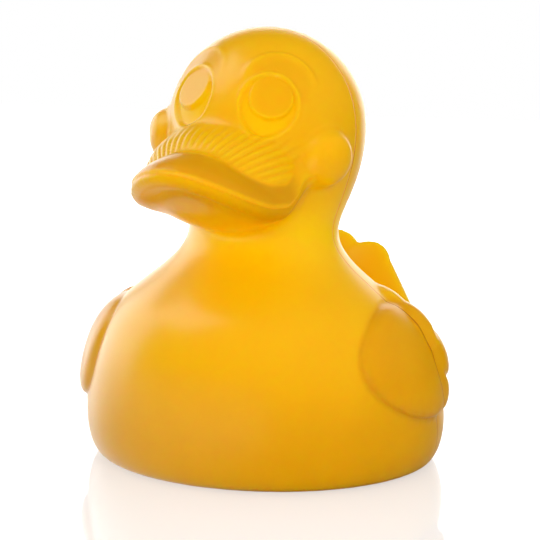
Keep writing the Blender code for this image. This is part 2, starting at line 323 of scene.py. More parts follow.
wing = {
    "halfLength": 15.9 * mm,
    "rearLength": 10.0 * mm,
    "halfHeight": 13.0 * mm,
    "edge": 2.9 * mm,
    "crown": 0.9 * mm,
    "sink": 3.0 * mm,
    "groove": 0.35 * mm,
    "grooveAt": 1.03,
    "grooveShare": 0.028,
}
wings = {  # by side: the duck's right wing is set lower and squarer than its left one
    1: {"height": 27.2 * mm, "back": -6.0 * mm, "bow": 4.0 * mm, "square": 2.2},
    -1: {"height": 26.2 * mm, "back": -8.9 * mm, "bow": 0.0, "square": 3.0},
}
feathers = {
    "notches": [math.radians(a) for a in (-88, -33, 36, 74)],
    "lifts": [3.5 * mm, 5.8 * mm, 6.8 * mm],
    "above": 0.8 * mm,
    "behind": 2.5 * mm,
    "reach": 15.6 * mm,
    "rootReach": 4.0 * mm,
    "halfHeight": 14.4 * mm,
    "notch": 5.2 * mm,
    "groove": 0.4 * mm,
    "grooveWidth": 0.9 * mm,
}
lobes = list(zip(feathers["notches"], feathers["notches"][1:]))
fold = {  # where the wing meets the shoulder
    "along": 3.6 * mm,
    "across": 3.0 * mm,
    "lift": 3.5 * mm,
    "back": 4.6 * mm,
    "height": 40.6 * mm,
    "slope": 0.1,
}


def addWing(side):
    own = wings[side]

    def disc(angle, reach, rise):
        power = own["square"]
        squarer = (abs(math.cos(angle)) ** power + abs(math.sin(angle)) ** power) ** (-1 / power)
        along = squarer * reach * math.cos(angle)
        upward = squarer * reach * math.sin(angle)
        length = wing["rearLength"] if along > 0 else wing["halfLength"]
        y = own["back"] + length * along + own["bow"] * upward * upward
        height = own["height"] + wing["halfHeight"] * upward
        top = wing["edge"] + wing["crown"] * (1 - reach * reach)
        lift = rise * (top if rise > 0 else wing["sink"])
        return Vector((side * (bodySide(y, height) + lift), y, height))

    def feather(angle, reach, rise):
        length = feathers["reach"] if math.cos(angle) > 0 else feathers["rootReach"]
        oval = 1 / math.hypot(math.cos(angle) / length, math.sin(angle) / feathers["halfHeight"])
        tips = 0.0
        for low, high in lobes:
            if low < angle < high:
                tips = math.sin(math.pi * (angle - low) / (high - low)) ** 0.5
        radius = reach * (oval + feathers["notch"] * (tips - 1))
        y = own["back"] + feathers["behind"] + radius * math.cos(angle)
        height = own["height"] + feathers["above"] + radius * math.sin(angle)
        highest = float(np.interp(angle, [0.5 * (low + high) for low, high in lobes], feathers["lifts"]))
        top = wing["edge"] + (highest - wing["edge"]) * smoothStep(2 * reach * math.cos(angle))
        lift = rise * (top if rise > 0 else wing["sink"])
        return Vector((side * (bodySide(y, height) + lift), y, height))

    def crease(angle, reach, rise):
        along = fold["along"] * reach * math.cos(angle)
        y = fold["back"] + along
        height = fold["height"] + fold["slope"] * along + fold["across"] * reach * math.sin(angle)
        return Vector((side * (bodySide(y, height) + fold["lift"] * rise), y, height))

    pebble(disc, 128, 40, 4.0)
    pebble(feather, 180, 40, 4.0)
    pebble(crease, 32, 16, 2.0)


tail = {
    "lean": math.radians(30.0),
    "rootHeight": 25.0 * mm,
    "rootBack": 32.4 * mm,
    "middleReach": 22.8 * mm,
    "middleRadius": 6.8 * mm,
    "tipOut": 9.9 * mm,
    "tipReach": 20.3 * mm,
    "tipRadius": 6.5 * mm,
    "sideOut": 13.6 * mm,
    "sideReach": 7.0 * mm,
    "sideRadius": 11.2 * mm,
    "tipThickness": 5.0 * mm,
    "rootThickness": 11.5 * mm,
}


def insideFan(across, up):
    if math.hypot(across, up - tail["middleReach"]) < tail["middleRadius"]:
        return True
    # each outer lobe tapers from a broad root to a narrow tip
    point = Vector((abs(across), up))
    root = Vector((tail["sideOut"], tail["sideReach"]))
    spine = Vector((tail["tipOut"], tail["tipReach"])) - root
    t = min(1.0, max(0.0, (point - root).dot(spine) / spine.length_squared))
    radius = tail["sideRadius"] + t * (tail["tipRadius"] - tail["sideRadius"])
    inLobe = (point - root - t * spine).length < radius
    return inLobe or (point.x < tail["tipOut"] and 0 < up < tail["tipReach"])


def addTail():
    root = Vector((0, tail["rootBack"], tail["rootHeight"]))
    along = Vector((0, math.sin(tail["lean"]), math.cos(tail["lean"])))
    through = Vector((0, math.cos(tail["lean"]), -math.sin(tail["lean"])))
    middle = 0.45 * tail["middleReach"]
    longest = tail["middleReach"] + tail["middleRadius"]
    edges = {}

    def edge(angle):
        key = round(angle, 4)
        if key not in edges:
            reach = 0.0
            while insideFan(reach * math.cos(angle), middle + reach * math.sin(angle)):
                reach += 0.1 * mm
            edges[key] = reach
        return edges[key]

    def place(angle, reach, rise):
        radius = reach * edge(angle)
        up = middle + radius * math.sin(angle)
        thinning = (tail["tipThickness"] - tail["rootThickness"]) * smoothStep(up / longest)
        thick = tail["rootThickness"] + thinning
        return root + Vector((radius * math.cos(angle), 0, 0)) + along * up + through * (0.5 * thick * rise)

    pebble(place, 180, 40, 3.2)


print("forms: body, head, bill, wings and tail")
turnBody()
addMuzzle()
addBill()
addTail()
for side in (-1, 1):
    addCheek(side)
    addWing(side)

moulding = {
    "voxel": 0.86 * mm,
    "smoothRounds": 4,
    "chinRounds": 14,
    "chinDrops": (3.4 * mm, 4.4 * mm),
    "chinForward": 13 * mm,
    "chinLow": 30 * mm,
    "brinkRounds": 16,
    "brinkForward": 12 * mm,
    "brinkShares": (0.84, 1.2),
}


def meltForms():
    mesh = bpy.data.meshes.new("forms")
    skin.to_mesh(mesh)
    skin.free()
    forms = bpy.data.objects.new("forms", mesh)
    bpy.context.scene.collection.objects.link(forms)
    remesh = forms.modifiers.new("melt", "REMESH")
    remesh.mode = "VOXEL"
    remesh.voxel_size = moulding["voxel"]
    remeshed = forms.evaluated_get(bpy.context.evaluated_depsgraph_get())
    melted = bpy.data.meshes.new_from_object(remeshed)
    bpy.data.objects.remove(forms)
    return melted


def smoothOver(bm, verts, rounds):
    for _ in range(rounds):
        bmesh.ops.smooth_vert(bm, verts=verts, factor=0.5, use_axis_x=True, use_axis_y=True, use_axis_z=True)


skinMesh = meltForms()
fine = bmesh.new()
fine.from_mesh(skinMesh)
smoothOver(fine, fine.verts, moulding["smoothRounds"])
print("skin: the forms melted into one with", len(fine.faces), "faces")
uncock = headTurn.inverted().to_3x3()


def underLip(point, drop):
    q = uncock @ (point - headMiddle)
    along = max(-q.y - bill["rootForward"], 0) / bill["length"]
    plan = max(math.hypot(q.x / bill["halfWidth"], along), 1e-3)
    rimY = -bill["rootForward"] - bill["length"] * along / plan
    rim = lipHeight(q.x / plan, rimY) - body["headHeight"]
    return q.y < -moulding["chinForward"] and -moulding["chinLow"] < q.z < rim - drop


# the bill's underside runs into the throat without a crease
for drop in moulding["chinDrops"]:
    smoothOver(fine, [vert for vert in fine.verts if underLip(vert.co, drop)], moulding["chinRounds"])


def onMuzzleBrink(point):
    q = uncock @ (point - headMiddle)
    up = q.z + muzzle["underHead"]
    reach = math.hypot(q.x / muzzle["halfWidth"], up / muzzle["rise"])
    low, high = moulding["brinkShares"]
    return up > 1 * mm and q.y < -moulding["brinkForward"] and low < reach < high


smoothOver(fine, [vert for vert in fine.verts if onMuzzleBrink(vert.co)], moulding["brinkRounds"])


# relief that is finer than the melted forms is pressed into the skin of the head and wings
eyes = {
    "azimuth": 27.0,
    "elevation": 17.5,
    "halfWidth": 7.3 * mm,
    "halfHeight": 8.0 * mm,
    "lean": math.radians(12.0),
    "depth": 0.8 * mm,
    "rim": 0.16 * mm,
    "rimWidth": 0.05,
    "pupilRadius": 5.7 * mm,
    "pupilOut": 0.5 * mm,
    "pupilUp": 2.1 * mm,
    "pupilFace": 0.65 * mm,
    "pupilTip": 0.1,
    "forward": 14.0 * mm,
}
brows = {
    "out": 2.6 * mm,
    "up": 6.0 * mm,
    "radius": 9.4 * mm,
    "hollow": 0.2 * mm,
    "ridge": {1: 0.34 * mm, -1: 0.2 * mm},  # by side
    "ridgeWidth": 1.1 * mm,
}
pleats = {
    "count": 23,
    "crowding": 0.245,
    "bend": math.radians(16.0),
    "bendMiddle": 0.6,
    "depth": 0.5 * mm,
    "roundness": 0.8,
    "level": 0.6,  # share of a crest that lies below the skin round it
    "inner": 0.42,
    "innerFade": 0.15,
    "outer": 1.02,
    "outerSide": 0.3,  # they reach further towards the duck's left cheek
    "outerFade": 0.25,
    "sideFade": (-0.45, -0.2),
    "lipFade": (4.6 * mm, 6.2 * mm),
    "ys": (-37 * mm, -12 * mm),
}
# where the skin is made finer, for the relief: in the head's own frame, and in the world's beside the wings
fineFace = {"forward": 9 * mm, "low": -17 * mm, "high": 20 * mm, "outside": 21 * mm}
fineWing = {"out": 28 * mm, "heights": (12 * mm, 44 * mm), "ys": (-27 * mm, 14 * mm), "shares": (0.78, 1.2)}
fineWing["feathersBehind"] = -4 * mm


def refine(bm, chosen):
    faces = [face for face in bm.faces if chosen(face.calc_center_median())]
    edges = list({edge for face in faces for edge in face.edges})
    made = bmesh.ops.subdivide_edges(bm, edges=edges, cuts=1, use_grid_fill=True)
    smoothOver(bm, [item for item in made["geom_inner"] if isinstance(item, bmesh.types.BMVert)], 2)


def onFace(point):
    q = uncock @ (point - headMiddle)
    inBand = fineFace["low"] < q.z < fineFace["high"]
    return inBand and q.y < -fineFace["forward"] and q.length > fineFace["outside"]


def onWing(point):
    low, high = fineWing["heights"]
    front, back = fineWing["ys"]
    if abs(point.x) < fineWing["out"] or not (low < point.z < high and front < point.y < back):
        return False
    own = wings[1 if point.x > 0 else -1]
    upward = (point.z - own["height"]) / wing["halfHeight"]
    along = (point.y - own["back"] - own["bow"] * upward**2) / wing["halfLength"]
    inner, outer = fineWing["shares"]
    return inner < math.hypot(along, upward) < outer or point.y > fineWing["feathersBehind"]


refine(fine, lambda point: onFace(point) or onWing(point))
print("skin: refined to", len(fine.faces), "faces on the face and the wings")
fine.normal_update()
fine.verts.ensure_lookup_table()
points = np.array([vert.co for vert in fine.verts])
normals = np.array([vert.normal for vert in fine.verts])
local = (points - np.array(headMiddle)) @ np.array(uncock).T
push = np.zeros(len(points))
headRadius = body["head"]


def eyePlan(side):
    # for each point: out and up from the eye's middle, share of the way to the rims of the oval, of the
    # pupil and of the brow's hollow, and whether it lies on that side of the head at all
    turn = Euler((math.radians(-eyes["elevation"]), 0, side * math.radians(eyes["azimuth"])))
    q = local @ np.array(turn.to_matrix())
    depth = np.maximum(-q[:, 1], 1 * mm)
    out = side * q[:, 0] * headRadius / depth
    up = q[:, 2] * headRadius / depth
    angle = np.arctan2(up, out) + eyes["lean"]
    oval = 1 / np.hypot(np.cos(angle) / eyes["halfWidth"], np.sin(angle) / eyes["halfHeight"])
    share = np.hypot(out, up) / oval
    pupilReach = np.hypot(out - eyes["pupilOut"], up - eyes["pupilUp"]) / eyes["pupilRadius"]
    browReach = np.hypot(out - brows["out"], up - brows["up"]) / brows["radius"]
    return out, up, share, pupilReach, browReach, -q[:, 1] > eyes["forward"]


def pressEye(side):
    out, up, share, pupilReach, browReach, inFront = eyePlan(side)
    near = inFront & (np.linalg.norm(local, axis=1) < headRadius + 2.9 * mm)
    # a soft hollow under the brow, and the brow's own ridge round its upper side
    above = smoothSteps(-0.15, 0.6, np.sin(np.arctan2(up - brows["up"], out - brows["out"])))
    hollow = 1 - smoothSteps(0.45, 1.0, browReach)
    crest = np.exp(-(((browReach - 1) * brows["radius"] / brows["ridgeWidth"]) ** 2)) * above
    change = brows["ridge"][side] * crest - brows["hollow"] * hollow * smoothSteps(0.9, 1.25, share)
    # the sunk oval with its thin raised rim
    change = change * smoothSteps(0.95, 1.15, share)
    floor = -eyes["depth"] * (1 - smoothSteps(0.88, 1.0, share))
    rim = eyes["rim"] * np.exp(-(((share - 1.03) / eyes["rimWidth"]) ** 2))
    change = change + floor + rim
    # the pupil is a flat disc that stands in the oval, tipped a little
    pupil = 1 - smoothSteps(0.9, 1.0, pupilReach)
    sag = headRadius - np.sqrt(headRadius**2 - np.minimum(pupilReach, 1.0) ** 2 * eyes["pupilRadius"] ** 2)
    flat = sag - eyes["pupilFace"] - eyes["pupilTip"] * (up - eyes["pupilUp"])
    change = change * (1 - pupil) + flat * pupil
    push[near] += change[near]


def pressPleats():
    x = local[:, 0]
    up = local[:, 2] + muzzle["underHead"]
    reach = np.hypot(x / muzzle["halfWidth"], up / muzzle["rise"])
    angle = np.arctan2(up, x)
    angle = np.where(angle < -math.pi / 2, angle + math.tau, angle)
    angle = angle - pleats["bend"] * (reach - pleats["bendMiddle"]) * np.cos(angle)
    wave = pleats["count"] * (angle / math.pi + pleats["crowding"] * np.sin(2 * angle) / math.tau)
    crest = np.abs(np.cos(math.pi * wave)) ** pleats["roundness"]
    ends = smoothSteps(pleats["inner"], pleats["inner"] + pleats["innerFade"], reach)
    outer = pleats["outer"] + pleats["outerSide"] * np.cos(angle) ** 2 * (x > 0)
    ends *= 1 - smoothSteps(outer - pleats["outerFade"], outer, reach)
    ends *= smoothSteps(*pleats["sideFade"], np.sin(angle)) * smoothSteps(*pleats["lipFade"], aboveMouth()[0])
    front, back = pleats["ys"]
    inFront = (local[:, 1] > front) & (local[:, 1] < back)
    push[inFront] += (pleats["depth"] * (crest - pleats["level"]) * ends)[inFront]


lips = {"groove": 0.35 * mm, "bead": 0.16 * mm, "beadAbove": 0.8 * mm, "width": 0.4 * mm}


def aboveMouth():
    # height above the mouth line, and reach across the bill's plan (1 at its rim)
    along = np.maximum(-local[:, 1] - bill["rootForward"], 0) / bill["length"]
    plan = np.maximum(np.hypot(local[:, 0] / bill["halfWidth"], along), 1e-3)
    rims = zip(local[:, 0] / plan, -bill["rootForward"] - bill["length"] * along / plan)
    mouth = np.array([lipHeight(x, y) for x, y in rims]) - body["headHeight"]
    return local[:, 2] - mouth, plan


def pressMouth():
    above, plan = aboveMouth()
    fade = smoothSteps(13.5 * mm, 16 * mm, -local[:, 1]) * (1 - smoothSteps(1.04, 1.1, plan))
    groove = -lips["groove"] * np.exp(-((above / lips["width"]) ** 2))
    bead = lips["bead"] * np.exp(-(((above - lips["beadAbove"]) / lips["width"]) ** 2))
    near = plan > 0.8
    push[near] += ((groove + bead) * fade)[near]


def wingPlan(side):
    own = wings[side]
    upward = (points[:, 2] - own["height"]) / wing["halfHeight"]
    along = (points[:, 1] - own["back"] - own["bow"] * upward**2) / wing["halfLength"]
    return (np.abs(along) ** own["square"] + np.abs(upward) ** own["square"]) ** (1 / own["square"])


def pressWing(side):
    own = wings[side]
    front = 1 - smoothSteps(-4 * mm, 0, points[:, 1])
    offGroove = (wingPlan(side) - wing["grooveAt"]) / wing["grooveShare"]
    change = -wing["groove"] * np.exp(-(offGroove**2)) * front
    across = points[:, 1] - own["back"] - feathers["behind"]
    upward = points[:, 2] - own["height"] - feathers["above"]
    angle = np.arctan2(upward, across)
    oval = 1 / np.hypot(np.cos(angle) / feathers["reach"], np.sin(angle) / feathers["halfHeight"])
    share = np.hypot(across, upward) / oval
    for notch in feathers["notches"][1:-1]:
        apart = (angle - notch) * share * oval
        length = smoothSteps(0.35, 0.6, share) * (1 - smoothSteps(1.0, 1.1, share))
        change -= feathers["groove"] * np.exp(-((apart / feathers["grooveWidth"]) ** 2)) * length
    outside = side * points[:, 0] > 26 * mm
    push[outside] += change[outside]


for side in (-1, 1):
    pressEye(side)
    pressWing(side)
pressPleats()
pressMouth()
points += normals * push[:, None]
points[:, 2] = np.maximum(points[:, 2], 0.0)


# two numbers for the rubber's look at each point: a tone for how thin the wall is there (0 in the solid bill,
# tail and wings, 1 where most light comes through), with painted light and painted shade added into it, and
# how much dusty bloom is left on it
wallAndPaintedLight = {
    "plain": 0.5,
    "neck": 0.45,  # lighter by: painted light on the neck, which lies under the bill
    "neckHeight": 57 * mm,
    "neckSpread": 9 * mm,
    "foot": 0.3,  # darker towards the bottom by
    "footHeights": (6 * mm, 34 * mm),
    "lip": 0.1,
    # painted highlight along the mouth line
    "lipTip": 0.22,
    "mouthHighlight": 0.5,
    # painted shade under the bill
    "chinShade": 0.45,
    "chinHeights": (-26 * mm, -22 * mm),
    "wing": 0.2,
    # painted shade: a dark line round the wing's edge
    "wingRimShade": 0.12,
    # painted light inside the sunk eyes
    "eye": 0.3,
    "pupil": 0.06,
    # painted shade in the hollow under each brow
    "brow": 0.1,
}
rubbedOff = {  # share of the bloom that handling has taken
    "mouth": 0.85,
    "eye": 0.9,
    "pupil": 0.4,
    "foot": 0.4,
    "footHeights": (6 * mm, 20 * mm),
    "tail": 0.9,
    "tailYs": (26 * mm, 32 * mm),
    "tailHeights": (24 * mm, 30 * mm),
}


def rubberLook():
    height = points[:, 2]
    forward = -local[:, 1]
    above, plan = aboveMouth()
    thinAndLit = np.full(len(points), wallAndPaintedLight["plain"])
    # painted light: the neck, in the bill's shade, is made lighter
    thinAndLit += wallAndPaintedLight["neck"] * np.exp(-(((height - wallAndPaintedLight["neckHeight"]) / wallAndPaintedLight["neckSpread"]) ** 2))
    # darker towards the bottom
    thinAndLit -= wallAndPaintedLight["foot"] * (1 - smoothSteps(*wallAndPaintedLight["footHeights"], height))
    # painted shade: the underside of the bill is darkened as the bill's own shade
    chinShade = smoothSteps(3 * mm, 6 * mm, -above) * (1 - smoothSteps(0.95, 1.1, plan))
    chinShade *= smoothSteps(*wallAndPaintedLight["chinHeights"], local[:, 2]) * smoothSteps(12 * mm, 20 * mm, forward)
    thinAndLit -= wallAndPaintedLight["chinShade"] * chinShade
    # the lips are thick, the lower one less so at its tip
    lip = smoothSteps(0.62, 0.74, plan) * smoothSteps(-7 * mm, -3 * mm, above)
    lip *= 1 - smoothSteps(4.2 * mm, 5.6 * mm, above)
    start = np.where(above > 0, 17 * mm, 14 * mm)
    lip *= smoothSteps(start, start + 6 * mm, forward) * (1 - smoothSteps(1.03, 1.1, plan))
    tip = smoothSteps(30 * mm, 42 * mm, forward) * (above < 0)
    thinAndLit = thinAndLit * (1 - lip) + (wallAndPaintedLight["lip"] + wallAndPaintedLight["lipTip"] * tip) * lip
    # painted highlight: a light line along the upper lip's lower edge, at the mouth line
    edge = np.exp(-(((above - 0.3 * mm) / lips["width"]) ** 2)) * (plan > 0.8)
    thinAndLit += wallAndPaintedLight["mouthHighlight"] * edge * lip
    bloom = np.ones(len(points))
    bare = smoothSteps(-5.5 * mm, -4 * mm, above) * (1 - smoothSteps(-0.6 * mm, 0.2 * mm, above))
    bloom -= rubbedOff["mouth"] * bare * smoothSteps(18 * mm, 22 * mm, forward) * (plan > 0.6)
    for side in (-1, 1):
        outside = smoothSteps(26 * mm, 30 * mm, side * points[:, 0])
        reach = wingPlan(side)
        disc = (1 - smoothSteps(0.97, 1.05, reach)) * outside
        # painted shade: a dark line where the wing's edge meets the body
        rim = np.exp(-(((reach - 1.04) / 0.05) ** 2)) * outside
        thinAndLit = thinAndLit * (1 - disc) + wallAndPaintedLight["wing"] * disc - wallAndPaintedLight["wingRimShade"] * rim
    # sunk eyes, made lighter inside as painted light coming through the thin wall, and the hollow under each
    # brow, darkened as painted shade
    for side in (-1, 1):
        share, pupilReach, browReach, inFront = eyePlan(side)[2:]
        inside = (1 - smoothSteps(0.85, 1.0, share)) * inFront
        pupil = 1 - smoothSteps(0.9, 1.02, pupilReach)
        brow = (1 - smoothSteps(0.6, 1.0, browReach)) * smoothSteps(1.0, 1.1, share) * inFront
        thinAndLit += inside * (wallAndPaintedLight["eye"] * (1 - pupil) - wallAndPaintedLight["pupil"] * pupil) - wallAndPaintedLight["brow"] * brow
        bloom -= inside * (rubbedOff["eye"] * (1 - pupil) + rubbedOff["pupil"] * pupil)
    bloom *= 1 - rubbedOff["foot"] * (1 - smoothSteps(*rubbedOff["footHeights"], height))
    onTail = smoothSteps(*rubbedOff["tailYs"], points[:, 1]) * smoothSteps(*rubbedOff["tailHeights"], height)
    bloom *= 1 - rubbedOff["tail"] * onTail
    return np.clip(thinAndLit, 0.0, 1.0), np.clip(bloom, 0.0, 1.0)


thinnessAndPaintedLight, bloom = rubberLook()
for vert, point in zip(fine.verts, points):
    vert.co = point
for face in fine.faces:
    face.smooth = True
duckMesh = bpy.data.meshes.new("duckSkin")
bmesh.ops.triangulate(fine, faces=[face for face in fine.faces if len(face.verts) > 4])
fine.to_mesh(duckMesh)
fine.free()
for name, values in (("thinnessAndPaintedLight", thinnessAndPaintedLight), ("bloom", bloom)):
    layer = duckMesh.attributes.new(name, "FLOAT", "POINT")
    layer.data.foreach_set("value", values.astype(np.float32))
duck = bpy.data.objects.new("duckSkin", duckMesh)
bpy.context.scene.collection.objects.link(duck)
print("duck:", sum(len(face.vertices) - 2 for face in duckMesh.polygons), "triangles with its relief")


# materials
def linear(hexColour):
    channels = [int(hexColour[i : i + 2], 16) / 255 for i in (1, 3, 5)]
    return tuple(c / 12.92 if c <= 0.04045 else ((c + 0.055) / 1.055) ** 2.4 for c in channels) + (1.0,)


def addNode(owner, kind, inputs=None, **settings):
    # inputs gives each named socket the output that feeds it, or its own value
    node = owner.node_tree.nodes.new(kind)
    for name, value in settings.items():
        setattr(node, name, value)
    for name, source in (inputs or {}).items():
        if isinstance(source, bpy.types.NodeSocket):
            owner.node_tree.links.new(source, node.inputs[name])
        else:
            node.inputs[name].default_value = source
    return node


def newMaterial(name):
    material = bpy.data.materials.new(name)
    material.use_nodes = True
    return material, material.node_tree.nodes["Principled BSDF"]


rubberFinish = {
    # the ramp runs from thick places and painted shade to thin places and painted light
    "thick": "#dd9c00",
    "middle": "#f8bb02",
    "thinAndLit": "#ffcc03",
    "roughness": 0.3,
    "ior": 1.52,
    "sheen": 0.3,
    "bareSheen": 0.05,
    # painted glow: emission that lights the thin places, which are no lamp
    "glow": "#ffb400",
    "paintedGlowThick": 0.02,
    "paintedGlowThin": 0.2,
    "scatterMm": (6.0, 3.2, 0.4),
    "cloudMm": 9.1,
    "mottle": 0.14,
    "grainMm": 0.45,  # the real grain is finer than this view can show
    "grainHeight": 0.012 * mm,
}
partingLine = {
    "y": -1.6 * mm,
    "lowY": 2.6 * mm,  # it bends backwards below the wings
    "bend": (4 * mm, 28 * mm),
    "width": 0.34 * mm,
    "depth": 0.16 * mm,
    "wander": 1.2 * mm,
    "wanderMm": 25.0,
    "tint": "#c88400",
    "strength": 0.75,
}


def partingSeam(material, place):
    # 1 along the mould's parting line, which runs over head, neck, shoulders and wings, and 0 beside it
    line = partingLine
    halfWander = 0.5 * line["wander"]
    split = addNode(material, "ShaderNodeSeparateXYZ", {"Vector": place})
    middle = {"Value": split.outputs["Z"], "From Min": line["bend"][0], "From Max": line["bend"][1]}
    middle.update({"To Min": line["lowY"] + halfWander, "To Max": line["y"] + halfWander})
    path = addNode(material, "ShaderNodeMapRange", middle, interpolation_type="SMOOTHSTEP")
    noise = {"Vector": place, "Scale": 1000 / line["wanderMm"], "Detail": 2.0}
    wander = addNode(material, "ShaderNodeTexNoise", noise)
    shifted = {0: wander.outputs["Fac"], 1: line["wander"], 2: split.outputs["Y"]}
    drift = addNode(material, "ShaderNodeMath", shifted, operation="MULTIPLY_ADD")
    gap = {0: drift.outputs[0], 1: path.outputs["Result"]}
    gap = addNode(material, "ShaderNodeMath", gap, operation="SUBTRACT")
    apart = addNode(material, "ShaderNodeMath", {0: gap.outputs[0]}, operation="ABSOLUTE")
    falloff = {"Value": apart.outputs[0], "From Max": line["width"], "To Min": 1.0, "To Max": 0.0}
    return addNode(material, "ShaderNodeMapRange", falloff, interpolation_type="SMOOTHSTEP").outputs["Result"]


def naturalRubber():
    # natural latex rubber, hot moulded: light sinks in and glows amber, a painted glow adds light where the
    # wall is thin, and a faint bloom dulls the gloss
    material, shader = newMaterial("naturalRubber")
    links = material.node_tree.links
    finish = rubberFinish
    place = addNode(material, "ShaderNodeTexCoord").outputs["Object"]
    # amber deepens where the wall is thick and where shade is painted, and lightens where light is painted,
    # with a faint mottle
    thicknessAndLight = addNode(material, "ShaderNodeAttribute", attribute_name="thinnessAndPaintedLight")
    cloud = {"Vector": place, "Scale": 1000 / finish["cloudMm"], "Detail": 4.0}
    cloud = addNode(material, "ShaderNodeTexNoise", cloud)
    mottled = {0: cloud.outputs["Fac"], 1: finish["mottle"], 2: -0.5 * finish["mottle"]}
    mottled = addNode(material, "ShaderNodeMath", mottled, operation="MULTIPLY_ADD")
    tone = {0: thicknessAndLight.outputs["Fac"], 1: mottled.outputs[0]}
    tone = addNode(material, "ShaderNodeMath", tone, operation="ADD").outputs[0]
    amber = addNode(material, "ShaderNodeValToRGB", {"Fac": tone})
    amber.color_ramp.elements[0].color = linear(finish["thick"])
    amber.color_ramp.elements[1].color = linear(finish["thinAndLit"])
    amber.color_ramp.elements.new(0.5).color = linear(finish["middle"])
    seam = partingSeam(material, place)
    share = addNode(material, "ShaderNodeMath", {0: seam, 1: partingLine["strength"]}, operation="MULTIPLY")
    darker = {0: share.outputs[0], 6: amber.outputs["Color"], 7: linear(partingLine["tint"])}
    darker = addNode(material, "ShaderNodeMix", darker, data_type="RGBA", blend_type="MULTIPLY")
    links.new(darker.outputs[2], shader.inputs["Base Color"])
    # the mould's fine grain, and the groove of the parting line
    grain = {"Vector": place, "Scale": 1000 / finish["grainMm"], "Detail": 2.0}
    grain = addNode(material, "ShaderNodeTexNoise", grain)
    groove = addNode(material, "ShaderNodeMath", {0: seam, 1: -partingLine["depth"]}, operation="MULTIPLY")
    height = {0: grain.outputs["Fac"], 1: finish["grainHeight"], 2: groove.outputs[0]}
    height = addNode(material, "ShaderNodeMath", height, operation="MULTIPLY_ADD")
    bump = {"Height": height.outputs[0], "Strength": 1.0, "Distance": 1.0}
    bump = addNode(material, "ShaderNodeBump", bump)
    links.new(bump.outputs["Normal"], shader.inputs["Normal"])
    # bloom scatters a pale sheen, bare rubber hardly any
    dust = addNode(material, "ShaderNodeAttribute", attribute_name="bloom")
    sheen = {"Value": dust.outputs["Fac"], "To Min": finish["bareSheen"], "To Max": finish["sheen"]}
    sheen = addNode(material, "ShaderNodeMapRange", sheen)
    links.new(sheen.outputs["Result"], shader.inputs["Specular IOR Level"])
    # painted glow: emission, as if light that had crossed the hollow duck came out amber where the wall is
    # thin
    through = {"Value": tone, "To Min": finish["paintedGlowThick"], "To Max": finish["paintedGlowThin"]}
    through = addNode(material, "ShaderNodeMapRange", through)
    links.new(through.outputs["Result"], shader.inputs["Emission Strength"])
    shader.inputs["Emission Color"].default_value = linear(finish["glow"])
    shader.inputs["Roughness"].default_value = finish["roughness"]
    shader.inputs["IOR"].default_value = finish["ior"]
    shader.inputs["Subsurface Weight"].default_value = 1.0
    shader.inputs["Subsurface Radius"].default_value = finish["scatterMm"]
    shader.inputs["Subsurface Scale"].default_value = mm
    return material


duck.data.materials.append(naturalRubber())
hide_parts("duck")
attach(duck, list(frame["bodies"])[0])
print("rubber: amber by thickness, bloom, grain and parting line")


viewAzimuth = math.radians(25.0)
toCamera = Vector((math.sin(viewAzimuth), -math.cos(viewAzimuth), 0))
toRight = Vector((math.cos(viewAzimuth), math.sin(viewAzimuth), 0))
up = Vector((0, 0, 1))


def spot(right, near, high):
    return toRight * right + toCamera * near + up * high


# glossy white table that keeps the duck's shadow and a faint reflection
table = {
    "size": 3.0,
    "colour": "#b4b4b4",
    "roughness": 0.05,
    "ior": 1.55,
    "glow": 0.75,
    "whiteFrom": 0.16,
    "whiteFull": 0.4,
    "paintedLitSide": (-10 * mm, 40 * mm),
}


def whiteAcrylic():
    # polished white acrylic, lit from below: white to the camera, and clear enough to mirror the duck
    material, shader = newMaterial("whiteAcrylic")
    shader.inputs["Base Color"].default_value = linear(table["colour"])
    shader.inputs["Roughness"].default_value = table["roughness"]
    shader.inputs["IOR"].default_value = table["ior"]
    shader.inputs["Emission Color"].default_value = (1, 1, 1, 1)
    path = addNode(material, "ShaderNodeLightPath")
    place = addNode(material, "ShaderNodeTexCoord").outputs["Object"]
    # near the duck its glow gives way to the reflection, and away from it the table is as white as the room
    gloss = addNode(material, "ShaderNodeFresnel", {"IOR": table["ior"]})
    clear = addNode(material, "ShaderNodeMath", {0: 1.0, 1: gloss.outputs["Fac"]}, operation="SUBTRACT")
    glow = addNode(material, "ShaderNodeMath", {0: clear.outputs[0], 1: table["glow"]}, operation="MULTIPLY")
    apart = addNode(material, "ShaderNodeVectorMath", {0: place}, operation="LENGTH")
    far = {"Value": apart.outputs["Value"], "From Min": table["whiteFrom"], "From Max": table["whiteFull"]}
    far = addNode(material, "ShaderNodeMapRange", far, interpolation_type="SMOOTHSTEP")
    bright = {0: glow.outputs[0], 1: far.outputs["Result"]}
    bright = addNode(material, "ShaderNodeMath", bright, operation="MAXIMUM")
    shown = {0: path.outputs["Is Camera Ray"], 1: bright.outputs[0]}
    shown = addNode(material, "ShaderNodeMath", shown, operation="MULTIPLY")
    # painted light: the duck's sheen sees the table glowing white on the side of the left panel
    beside = addNode(material, "ShaderNodeVectorMath", {0: place, 1: -toRight}, operation="DOT_PRODUCT")
    lit = {"Value": beside.outputs["Value"], "From Min": table["paintedLitSide"][0], "From Max": table["paintedLitSide"][1]}
    lit = addNode(material, "ShaderNodeMapRange", lit, interpolation_type="SMOOTHSTEP")
    mirrored = {0: path.outputs["Is Glossy Ray"], 1: lit.outputs["Result"]}
    mirrored = addNode(material, "ShaderNodeMath", mirrored, operation="MULTIPLY")
    strength = {0: shown.outputs[0], 1: mirrored.outputs[0]}
    strength = addNode(material, "ShaderNodeMath", strength, operation="ADD")
    material.node_tree.links.new(strength.outputs[0], shader.inputs["Emission Strength"])
    return material


